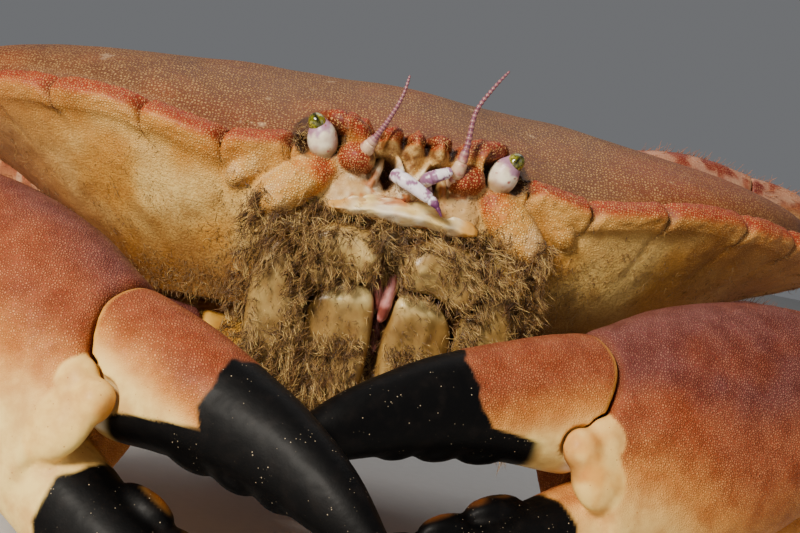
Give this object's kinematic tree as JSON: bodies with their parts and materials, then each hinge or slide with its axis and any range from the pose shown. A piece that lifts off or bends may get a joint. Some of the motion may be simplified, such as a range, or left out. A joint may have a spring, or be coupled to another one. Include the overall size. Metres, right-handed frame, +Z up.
{
  "type": "edible crab",
  "caption": "Full-grown edible crab standing on its walking legs, with a broad oval pie-crust shell and its black-tipped claws folded in front of its mouth.",
  "frame": {"origin": "on the floor, under the middle of the bounding box", "axes": "+X to the crab's left, +Y to its rear, +Z up"},
  "size_m": [0.318, 0.2372, 0.0967],
  "materials": {
    "shell": "finely granular shell, dull above, its rim brighter red-brown",
    "underside": "pale yellowish shell",
    "claw": "smooth shell, pink-red above and cream below, with glossy black finger tips",
    "leg": "red-brown shell with rows of short bristles",
    "leg_tip": "grooved, bristly shell ending in a dark tip",
    "mouth": "cream shell plates under dense brown bristles",
    "eye": "glossy olive-green cornea",
    "eyestalk": "smooth white shell with a purple edge",
    "feeler": "purple and white jointed feelers"
  },
  "bodies": {
    "root": {"abdomen": "underside", "antenna_left": "feeler", "antenna_right": "feeler", "antennule_left": "feeler", "antennule_right": "feeler", "carapace": "shell", "claw_carpus_left": "claw", "claw_carpus_right": "claw", "claw_dactyl_left": "claw", "claw_dactyl_right": "claw", "claw_merus_left": "claw", "claw_merus_right": "claw", "claw_palm_left": "claw", "claw_palm_right": "claw", "epistome": "underside", "eye_left": "eye", "eye_right": "eye", "eyestalk_left": "eyestalk", "eyestalk_right": "eyestalk", "leg_1_carpus_left": "leg", "leg_1_carpus_right": "leg", "leg_1_dactyl_left": "leg_tip", "leg_1_dactyl_right": "leg_tip", "leg_1_merus_left": "leg", "leg_1_merus_right": "leg", "leg_1_propodus_left": "leg", "leg_1_propodus_right": "leg", "leg_2_carpus_left": "leg", "leg_2_carpus_right": "leg", "leg_2_dactyl_left": "leg_tip", "leg_2_dactyl_right": "leg_tip", "leg_2_merus_left": "leg", "leg_2_merus_right": "leg", "leg_2_propodus_left": "leg", "leg_2_propodus_right": "leg", "leg_3_carpus_left": "leg", "leg_3_carpus_right": "leg", "leg_3_dactyl_left": "leg_tip", "leg_3_dactyl_right": "leg_tip", "leg_3_merus_left": "leg", "leg_3_merus_right": "leg", "leg_3_propodus_left": "leg", "leg_3_propodus_right": "leg", "leg_4_carpus_left": "leg", "leg_4_carpus_right": "leg", "leg_4_dactyl_left": "leg_tip", "leg_4_dactyl_right": "leg_tip", "leg_4_merus_left": "leg", "leg_4_merus_right": "leg", "leg_4_propodus_left": "leg", "leg_4_propodus_right": "leg", "maxilliped_exopod_left": "mouth", "maxilliped_exopod_right": "mouth", "maxilliped_ischium_left": "mouth", "maxilliped_ischium_right": "mouth", "maxilliped_merus_left": "mouth", "maxilliped_merus_right": "mouth", "thorax": "underside"}
  },
  "joints": []
}
